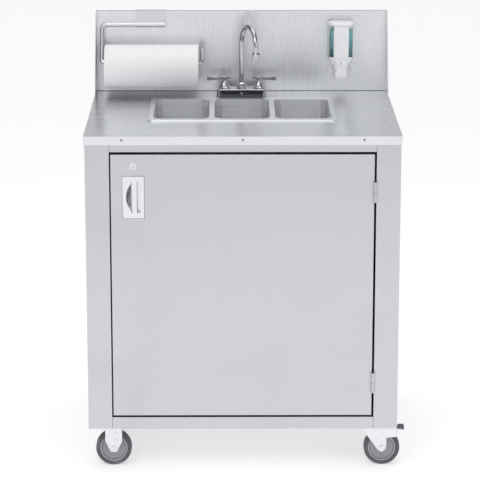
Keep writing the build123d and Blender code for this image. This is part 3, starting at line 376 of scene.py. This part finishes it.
# %% Towel paper and its board core
tree, shader = blank("towel_paper", Sheen_Weight=0.2, Sheen_Roughness=0.6)
sheet_place = put(tree, "ShaderNodeUVMap", uv_map="wrap").outputs["UV"]
dimples = put(tree, "ShaderNodeTexVoronoi", {"Vector": sheet_place, "Scale": 190.0}, voronoi_dimensions="2D",
              feature="SMOOTH_F1").outputs["Distance"]
crepe = put(tree, "ShaderNodeTexNoise", {"Vector": sheet_place, "Scale": 420.0, "Detail": 3.0}).outputs["Fac"]
pressed = sums(tree, "ADD", ranged(tree, dimples, 0.0, 0.55), sums(tree, "MULTIPLY", crepe, 0.35))
tree.links.new(tinted(tree, pressed, (0.92, 0.925, 0.935), (0.97, 0.972, 0.98)), shader.inputs["Base Color"])
tree.links.new(ranged(tree, crepe, 0.3, 0.7, 0.82, 0.95), shader.inputs["Roughness"])
raised(tree, shader, pressed, 0.35, 0.0006)

roll_low, roll_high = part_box("paper_roll")
roll_centre = (roll_low + roll_high) / 2
tree, shader = blank("towel_layers", Roughness=0.9)
centred = put(tree, "ShaderNodeMapping", {"Vector": put(tree, "ShaderNodeTexCoord").outputs["Object"],
                                          "Location": tuple(-roll_centre)}).outputs[0]
turns = put(tree, "ShaderNodeTexWave", {"Vector": centred, "Scale": 260.0, "Distortion": 1.2, "Detail": 2.0},
            wave_type="RINGS", rings_direction="X").outputs["Fac"]
tree.links.new(tinted(tree, turns, (0.66, 0.66, 0.66), (0.86, 0.86, 0.865)), shader.inputs["Base Color"])
raised(tree, shader, turns, 0.5, 0.0006)

tree, shader = blank("core_board", Roughness=0.85)
board = put(tree, "ShaderNodeTexCoord").outputs["Object"]
seams = put(tree, "ShaderNodeTexWave", {"Vector": board, "Scale": 22.0, "Distortion": 0.4},
            bands_direction="DIAGONAL").outputs["Fac"]
fibre = put(tree, "ShaderNodeTexNoise", {"Vector": board, "Scale": 700.0, "Detail": 4.0}).outputs["Fac"]
tree.links.new(tinted(tree, fibre, (0.30, 0.21, 0.13), (0.44, 0.33, 0.22)), shader.inputs["Base Color"])
raised(tree, shader, sums(tree, "ADD", ranged(tree, seams, 0.0, 0.08), fibre), 0.3, 0.0004)

# %% Small finishes
plastic("index_red", (0.45, 0.04, 0.04), (0.36, 0.03, 0.03), 0.25)
plastic("index_blue", (0.04, 0.12, 0.42), (0.03, 0.09, 0.34), 0.25)
# Dark grey sealant for the splash joint; its darkness also paints the joint's shadow line.
plastic("sealant_and_shadow_grey", (0.20, 0.20, 0.21), (0.15, 0.15, 0.16), 0.5)
# A black used only for the ring round the pull's plate: painted shadow in the gap round the plate.
plastic("painted_shadow_black", (0.028, 0.028, 0.03), (0.018, 0.018, 0.02), 0.6)
plastic("studio_floor", (0.93, 0.93, 0.93), (0.925, 0.925, 0.925), 0.8, pitch=60.0, depth=0.0, marks=0.0,
        Emission_Color=(1.0, 1.0, 1.0, 1.0), Emission_Strength=0.42)
floor.data.materials.append(finishes["studio_floor"])
print(len(finishes), "finishes")

# %% [markdown]
# ## Finish every part of the frame
# The record says which slot each node belongs to, so the table of finishes is matched to it by name. The
# parts come as loose triangles with hard edges. Welding, a hair of bevel and weighted normals give each
# folded sheet the soft bright edge that real steel has, and leave its faces flat.

# %% Finish and soften the frame's parts
SHARP = math.radians(32)


def soften(piece, width, segments=2):
    """Weld the loose triangles, round the hard edges by a hair, and shade by the flat faces."""
    weld = piece.modifiers.new("weld", "WELD")
    weld.merge_threshold = 1e-5
    if width > 0:
        flat = piece.modifiers.new("flat", "DECIMATE")
        flat.decimate_type = "DISSOLVE"
        flat.angle_limit = math.radians(0.2)
        bevel = piece.modifiers.new("edge", "BEVEL")
        bevel.width = width
        bevel.segments = segments
        bevel.limit_method = "ANGLE"
        bevel.angle_limit = SHARP
        bevel.profile = 0.5
        bevel.use_clamp_overlap = True
    even = piece.modifiers.new("even", "WEIGHTED_NORMAL")
    even.keep_sharp = True
    even.weight = 80


edge_width = {"countertop": 0.7, "backsplash": 0.5, "left_side_panel": 0.6, "right_side_panel": 0.6,
              "top_rail": 0.5, "bottom_rail": 0.5, "door_skin": 0.5, "door_liner": 0.3, "base_pan": 0.4,
              "back_panel": 0.3, "hinge_frame_leaves": 0.5, "hinge_door_leaves": 0.5, "towel_bracket": 0.3,
              "soap_backplate": 0.5, "rigid_caster_forks": 0.4, "swivel_plates": 0.4,
              "swivel_fork_front": 0.4, "swivel_fork_rear": 0.4, "power_inlet": 0.3, "lip_screws": 0.15}
# The tap's base takes the chrome that has a painted dark reflection on its front.
own_finish = {"backsplash": "splash_steel", "faucet_body": "tap_base_chrome_painted_reflection"}
for name, node in nodes.items():
    slot = node.material_slots[0].material.name
    node.material_slots[0].material = finishes[own_finish.get(name, slot)]
    if name in edge_width:
        for face in node.data.polygons:
            face.use_smooth = True
        soften(node, edge_width[name] * MM)
print("finished", len(nodes), "parts of the frame")

# %% [markdown]
# ## Turning a profile
# Wheels, knobs and the paper roll are all turned shapes. One helper takes the half outline of such a piece,
# as radius and height along its axis, and spins it right round. Spinning keeps the section exact.


# %% Helpers for new pieces
def piece_from(bm, name, finish, body, smooth=True):
    """A bmesh made into an object that rides on a body."""
    mesh = bpy.data.meshes.new(name)
    bm.normal_update()
    bm.to_mesh(mesh)
    bm.free()
    piece = bpy.data.objects.new(name, mesh)
    bpy.context.scene.collection.objects.link(piece)
    mesh.materials.append(finishes[finish])
    for face in mesh.polygons:
        face.use_smooth = smooth
    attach(piece, body)
    return piece


def turn(bm, profile, centre, axis, steps=64):
    """Spin a closed outline of (radius, along) points about an axis."""
    along = Vector(axis).normalized()
    out = along.orthogonal().normalized()
    points = [bm.verts.new(Vector(centre) + out * r + along * a) for r, a in profile]
    edges = [bm.edges.new((points[i], points[(i + 1) % len(points)])) for i in range(len(points))]
    made = bmesh.ops.spin(bm, geom=points + edges, cent=centre, axis=along, dvec=(0, 0, 0),
                          angle=math.tau, steps=steps, use_merge=True)
    bmesh.ops.remove_doubles(bm, verts=bm.verts, dist=1e-6)
    bmesh.ops.recalc_face_normals(bm, faces=bm.faces)
    return made


def rounded(corners, radius, steps=4):
    """Outline points with each corner turned into a short arc."""
    points = []
    for i, corner in enumerate(corners):
        here, before, after = Vector(corner), Vector(corners[i - 1]), Vector(corners[(i + 1) % len(corners)])
        into, away = (before - here), (after - here)
        cut = min(radius, into.length * 0.45, away.length * 0.45)
        first, last = here + into.normalized() * cut, here + away.normalized() * cut
        for step in range(steps + 1):
            t = step / steps
            points.append(tuple(first * (1 - t) ** 2 + here * 2 * t * (1 - t) + last * t ** 2))
    return points


# %% [markdown]
# ## Paper roll
# A new roll is a tight drum, but never a perfect one: the winding is slightly uneven along its length, and
# the sheet is embossed. The drum is turned, its skin is moved by a slow noise, and a map that wraps the
# paper round it carries the emboss.

# %% Paper roll
roll_radius = (roll_high.z - roll_low.z) / 2
bore = (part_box("roll_core")[1].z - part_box("roll_core")[0].z) / 2 + 0.1 * MM
half_roll = (roll_high.x - roll_low.x) / 2
edge_radius = 3.5 * MM
bm = bmesh.new()
section = [(bore, -half_roll), (roll_radius, -half_roll), (roll_radius, half_roll), (bore, half_roll)]
section = rounded(section, edge_radius)
turn(bm, section, roll_centre, (1, 0, 0), steps=120)
long_edges = [e for e in bm.edges if abs(e.verts[0].co.x - e.verts[1].co.x) > half_roll]
bmesh.ops.subdivide_edges(bm, edges=long_edges, cuts=60, use_grid_fill=True)
wrap = bm.loops.layers.uv.new("wrap")
for vert in bm.verts:
    spoke = Vector((0, vert.co.y - roll_centre.y, vert.co.z - roll_centre.z))
    if spoke.length > roll_radius - 0.5 * MM:
        wave = noise.noise(Vector((vert.co.x * 9, spoke.y * 22, spoke.z * 22)))
        ripple = noise.noise(Vector((vert.co.x * 60, spoke.y * 9, spoke.z * 9)))
        vert.co -= spoke.normalized() * (0.35 + 0.45 * wave + 0.25 * ripple) * MM
for face in bm.faces:
    middle = face.calc_center_median() - roll_centre
    start = math.atan2(middle.z, middle.y)
    for loop in face.loops:
        spoke = loop.vert.co - roll_centre
        turned = math.remainder(math.atan2(spoke.z, spoke.y) - start, math.tau) + start
        loop[wrap].uv = (loop.vert.co.x, turned * roll_radius)
towel = piece_from(bm, "towel_roll_paper", "towel_paper", "towel_roll")
towel.data.materials.append(finishes["towel_layers"])
for face in towel.data.polygons:
    face.material_index = 1 if abs(face.normal.x) > 0.8 else 0
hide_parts("paper_roll")
print("roll", len(towel.data.polygons), "faces")

# %% [markdown]
# ## Soap in its bottle
# The bottle is clear, so what shows is the soap. It fills the inside of the bottle, a hair away from the
# walls, up to a level just below the lid. Its surface is flat with a rounded meniscus.

# %% Soap
bottle_low, bottle_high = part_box("soap_bottle")
wall = 2.3 * MM
fill_top = bottle_high.z - 13 * MM
bm = bmesh.new()
bmesh.ops.create_cube(bm, size=1.0)
span = (bottle_high.x - bottle_low.x - 2 * wall, bottle_high.y - bottle_low.y - 2 * wall,
        fill_top - bottle_low.z - wall)
middle = ((bottle_low.x + bottle_high.x) / 2, (bottle_low.y + bottle_high.y) / 2,
          (bottle_low.z + wall + fill_top) / 2)
bmesh.ops.scale(bm, verts=bm.verts, vec=span)
bmesh.ops.translate(bm, verts=bm.verts, vec=middle)
upright = [e for e in bm.edges if abs(e.verts[0].co.z - e.verts[1].co.z) > 10 * MM]
bmesh.ops.bevel(bm, geom=upright, offset=17.5 * MM, affect="EDGES", segments=12, profile=0.5, material=-1)
top_edges = [e for e in bm.edges if min(v.co.z for v in e.verts) > fill_top - MM]
bmesh.ops.bevel(bm, geom=top_edges, offset=0.8 * MM, affect="EDGES", segments=2, profile=0.5, material=-1)
soap = piece_from(bm, "soap_liquid", "soap_blue", "cart")
soften(soap, 0)
print("soap level", round(fill_top, 4))

# %% [markdown]
# ## Soap dispenser
# The housing is one moulded shell: a lid, a band down the front between two side windows, shoulders that
# draw in below them, and a nose that carries the push button. Its level sections are all the same rounded
# shape at different sizes, so it is lofted: a circle is squared off at each height and bridged to the next.


# %% Lofting level sections
def section_ring(bm, z, half_width, front, back, squareness):
    """A rounded ring at one height, from a circle pulled towards a box."""
    made = bmesh.ops.create_circle(bm, segments=56, radius=1.0)
    middle, half_depth = (front + back) / 2, (back - front) / 2
    for vert in made["verts"]:
        c, n = vert.co.x, vert.co.y
        x = math.copysign(abs(c) ** (2 / squareness), c) * half_width
        y = math.copysign(abs(n) ** (2 / squareness), n) * half_depth
        vert.co = Vector((soap_centre + x, middle + y, z))
    return [e for e in bm.edges if e.verts[0] in made["verts"] and e.verts[1] in made["verts"]]


def loft(bm, sections):
    rings = [section_ring(bm, *section) for section in sections]
    for low, high in zip(rings, rings[1:]):
        bmesh.ops.bridge_loops(bm, edges=low + high)
    bmesh.ops.contextual_create(bm, geom=rings[0])
    bmesh.ops.contextual_create(bm, geom=rings[-1])
    bmesh.ops.recalc_face_normals(bm, faces=bm.faces)


lid_low, lid_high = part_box("soap_lid")
cover_low, cover_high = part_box("soap_cover")
soap_centre = (lid_low.x + lid_high.x) / 2
half_lid = (lid_high.x - lid_low.x) / 2
lid_sections = []
for share, inset in ((0.0, 1.6), (0.12, 0.2), (0.55, 0.0), (0.80, 0.5), (0.93, 1.8), (1.0, 4.5)):
    z = lid_low.z + share * (lid_high.z - lid_low.z)
    lid_sections.append((z, half_lid - inset * MM, lid_low.y + inset * MM, lid_high.y - inset * MM, 3.0))
bm = bmesh.new()
loft(bm, lid_sections)
lid = piece_from(bm, "dispenser_lid", "dispenser_white", "soap_lid")
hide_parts("soap_lid")
print("lid", [round(x / MM, 1) for x in (lid_high - lid_low)])

# %% [markdown]
# The cover is three lofts joined into one skin. The pocket for the button is cut out of it, because the
# button travels inwards and would otherwise pass through the shell.

# %% Dispenser cover
band_half = 22.5 * MM
window_foot = bottle_low.z
front = cover_low.y
rear = cover_high.y
bm = bmesh.new()
band = [(window_foot - 4 * MM, band_half, front, front + 9 * MM, 3.4),
        (cover_high.z, band_half, front, front + 9 * MM, 3.4)]
loft(bm, band)
shoulder = []
for drop, half_width, set_back in ((0.0, 37.6, 3.6), (3.0, 38.0, 3.2), (10.0, 37.4, 3.2), (17.0, 35.0, 3.6),
                                   (22.0, 31.5, 4.4), (25.0, 27.0, 5.6), (26.5, 21.0, 8.0)):
    shoulder.append((window_foot - drop * MM, half_width * MM, front + set_back * MM, rear, 3.0))
loft(bm, shoulder[::-1])
nose = []
for lift, inset in ((0.0, 5.0), (1.2, 2.4), (3.5, 0.8), (8.0, 0.0), (40.0, 0.0), (58.0, 0.6)):
    nose.append((cover_low.z + lift * MM, band_half - inset * MM, front + inset * 0.6 * MM,
                 front + (52 - inset) * MM, 3.4))
loft(bm, nose)
cover = piece_from(bm, "dispenser_cover", "dispenser_white", "cart")


def arch(bm, half_width, low, high, front, back):
    """A push-button block: flat below, a rounded arch above."""
    spring = high - (high - low) * 0.62
    angles = [t * math.pi / 24 for t in range(25)]
    outline = [(half_width * math.cos(t), spring + (high - spring) * math.sin(t)) for t in angles]
    outline += [(-half_width, low + 6 * MM), (-half_width * 0.6, low), (half_width * 0.6, low),
                (half_width, low + 6 * MM)]
    ring = [bm.verts.new((soap_centre + x, front, z)) for x, z in outline]
    face = bm.faces.new(ring)
    grown = bmesh.ops.extrude_face_region(bm, geom=[face])["geom"]
    bmesh.ops.translate(bm, verts=[v for v in grown if isinstance(v, bmesh.types.BMVert)],
                        vec=(0, back - front, 0))
    bmesh.ops.recalc_face_normals(bm, faces=bm.faces)


def cut(piece, cutter_bm):
    """Take a cutter's volume out of a piece, and keep the result as its mesh."""
    mesh = bpy.data.meshes.new("cutter")
    cutter_bm.to_mesh(mesh)
    cutter_bm.free()
    cutter = bpy.data.objects.new("cutter", mesh)
    bpy.context.scene.collection.objects.link(cutter)
    hollow = piece.modifiers.new("hollow", "BOOLEAN")
    hollow.operation = "DIFFERENCE"
    hollow.solver = "EXACT"
    hollow.use_self = True
    hollow.object = cutter
    done = piece.evaluated_get(bpy.context.evaluated_depsgraph_get())
    fresh = bpy.data.meshes.new_from_object(done)
    piece.modifiers.clear()
    piece.data = fresh
    bpy.data.objects.remove(cutter)


button_low, button_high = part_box("soap_button")
half_button = (button_high.x - button_low.x) / 2
travel = 8 * MM
cutter_bm = bmesh.new()
arch(cutter_bm, half_button + 0.5 * MM, button_low.z - 0.5 * MM, button_high.z + 0.5 * MM,
     front - 5 * MM, button_high.y + travel + 1.5 * MM)
cut(cover, cutter_bm)
for face in cover.data.polygons:
    face.use_smooth = True
soften(cover, 0.4 * MM)
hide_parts("soap_cover")
print("cover", len(cover.data.polygons), "faces")

# %% Push button
bm = bmesh.new()
arch(bm, half_button, button_low.z, button_high.z, button_low.y + 1.2 * MM, button_high.y)
rim_edges = [e for e in bm.edges if max(v.co.y for v in e.verts) < button_low.y + 2 * MM]
bmesh.ops.bevel(bm, geom=rim_edges, offset=2.0 * MM, affect="EDGES", segments=4, profile=0.5, material=-1)
face = min(bm.faces, key=lambda f: f.calc_center_median().y)
bmesh.ops.inset_region(bm, faces=[face], thickness=5 * MM, depth=0.6 * MM, use_even_offset=True)
button = piece_from(bm, "dispenser_button", "dispenser_white", "soap_button")
soften(button, 0.0)
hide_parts("soap_button")

# %% Key slot above the button, a black piece of painted shade
# The keyhole is not cut into the cover: a thin black slot-shaped piece on its face is painted shade standing
# in for the dark inside the hole.
bm = bmesh.new()
bmesh.ops.create_circle(bm, cap_ends=True, segments=20, radius=1.0)
bmesh.ops.scale(bm, verts=bm.verts, vec=(1.1 * MM, 3.4 * MM, 1.0))
bmesh.ops.rotate(bm, verts=bm.verts, matrix=Matrix.Rotation(math.radians(90), 3, "X"))
grown = bmesh.ops.extrude_face_region(bm, geom=list(bm.faces))["geom"]
bmesh.ops.translate(bm, verts=[v for v in grown if isinstance(v, bmesh.types.BMVert)], vec=(0, 0.8 * MM, 0))
bmesh.ops.translate(bm, verts=bm.verts, vec=(soap_centre, front - 0.15 * MM, button_high.z + 11 * MM))
bmesh.ops.recalc_face_normals(bm, faces=bm.faces)
piece_from(bm, "dispenser_key_slot_shade", "pump_black", "cart")

# %% [markdown]
# ## Wheels
# Each wheel has a moulded hub with a pale raised rim, a groove and a slightly dished face. The profile is
# mirrored about the middle of the wheel and turned. A second, paler finish goes on the rim's faces.

# %% Wheel hubs
hub_profile = [(4.85, 17.0), (12.0, 17.0), (12.0, 12.6), (13.6, 11.2), (23.5, 10.2), (24.6, 11.4),
               (32.6, 10.4), (34.2, 8.8), (35.6, 8.8), (36.4, 14.2), (38.9, 14.2)]
for name, body in (("left_front", "wheel_left_front"), ("left_rear", "wheel_left_rear"),
                   ("right_front", "wheel_right_front"), ("right_rear", "wheel_right_rear")):
    low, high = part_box("wheel_hub_" + name)
    outline = [(r * MM, a * MM) for r, a in hub_profile] + [(r * MM, -a * MM) for r, a in hub_profile[::-1]]
    bm = bmesh.new()
    turn(bm, rounded(outline, 0.6 * MM, 2), (low + high) / 2, (0, 1, 0), steps=72)
    hub = piece_from(bm, "hub_" + name, "hub_grey", body)
    hub.data.materials.append(finishes["hub_ring"])
    centre = (low + high) / 2
    for face in hub.data.polygons:
        away = face.center - centre
        out = math.hypot(away.x, away.z)
        face.material_index = 1 if out > 36.0 * MM and abs(away.y) > 13 * MM else 0
    soften(hub, 0.0)
    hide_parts("wheel_hub_" + name)
print("hubs turned")

# %% [markdown]
# ## Fixings, sealant and painted shadow lines
# Small things tell the eye how the object is held together: a bead of sealant where the splash meets the
# top, coloured dark so it also paints the joint's shadow line, a black ring round the pull's plate that is
# painted shadow in the gap round it, bolts under the caster plates and a dot of colour on each lever.


# %% Sealant bead with painted shadow line, and painted shadow ring round the pull
def bar(bm, low, high, rounding):
    """A long strip with softened edges."""
    made = bmesh.ops.create_cube(bm, size=1.0)["verts"]
    bmesh.ops.scale(bm, verts=made, vec=Vector(high) - Vector(low))
    bmesh.ops.translate(bm, verts=made, vec=(Vector(low) + Vector(high)) / 2)
    edges = [e for e in bm.edges if e.verts[0] in made and e.verts[1] in made]
    bmesh.ops.bevel(bm, geom=edges, offset=rounding, affect="EDGES", segments=2, profile=0.5, material=-1)


splash_low, splash_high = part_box("backsplash")
counter_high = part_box("countertop")[1]
splash_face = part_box("soap_backplate")[1].y
# A sealant bead along the joint, coloured dark grey so it also paints the shadow line where the splash meets
# the top.
bm = bmesh.new()
bar(bm, (splash_low.x + 2 * MM, splash_face - 1.4 * MM, counter_high.z - 0.2 * MM),
    (splash_high.x - 2 * MM, splash_face + 0.2 * MM, counter_high.z + 1.3 * MM), 0.5 * MM)
piece_from(bm, "splash_sealant_and_shadow", "sealant_and_shadow_grey", "cart")

# A thin black ring round the pull's plate, standing just proud of the door: painted shadow for the gap round
# the plate.
plate_low, plate_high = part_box("pull_handle")
door_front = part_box("door_skin")[0].y
bm = bmesh.new()
rim = 0.9 * MM
shadow_ring_front = door_front - 0.8 * MM
shadow_ring_back = door_front + 0.1 * MM
for x in (plate_low.x, plate_high.x):
    bar(bm, (x - rim, shadow_ring_front, plate_low.z - rim), (x + rim, shadow_ring_back, plate_high.z + rim), 0.2 * MM)
for z in (plate_low.z, plate_high.z):
    bar(bm, (plate_low.x - rim, shadow_ring_front, z - rim), (plate_high.x + rim, shadow_ring_back, z + rim), 0.2 * MM)
piece_from(bm, "pull_shadow_ring", "painted_shadow_black", "door")
print("bead and seal made")

# %% Caster bolts
plate_low, plate_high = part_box("swivel_plates")
rigid_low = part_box("rigid_caster_forks")[0]
bolt_across = 37 * MM
bolt_along = 25 * MM
plate_middle = 33.5 * MM
plate_thickness = 3 * MM
head_height = 5 * MM
bm = bmesh.new()
deck = plate_high.z - plate_thickness
half_plate = (plate_high.x - plate_low.x) / 2
for centre_x in (plate_low.x + half_plate, rigid_low.x + half_plate):
    for centre_y in (plate_low.y + plate_middle, plate_high.y - plate_middle):
        for dx, dy in ((-1, -1), (-1, 1), (1, -1), (1, 1)):
            spot = Vector((centre_x + dx * bolt_across, centre_y + dy * bolt_along, deck - 2.6 * MM))
            head = bmesh.ops.create_cone(bm, cap_ends=True, segments=6, radius1=5.4 * MM, radius2=5.8 * MM,
                                         depth=head_height)["verts"]
            bmesh.ops.translate(bm, verts=head, vec=spot)
bolts = piece_from(bm, "caster_bolts", "caster_zinc", "cart", smooth=False)
soften(bolts, 0.5 * MM)

# %% Lever dots
stem_inset = 19 * MM
for lever, side, finish in (("hot_handle", -1, "index_red"), ("cold_handle", 1, "index_blue")):
    low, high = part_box(lever)
    stem_x = high.x - stem_inset if side < 0 else low.x + stem_inset
    bm = bmesh.new()
    cap = [(0.0, -0.4), (3.2, -0.4), (3.4, 0.0), (2.6, 0.45), (1.2, 0.65), (0.0, 0.7)]
    turn(bm, [(r * MM, a * MM) for r, a in cap], (stem_x, (low.y + high.y) / 2, high.z), (0, 0, 1), steps=32)
    piece_from(bm, lever + "_dot", finish, lever)
print("bolts and dots made")
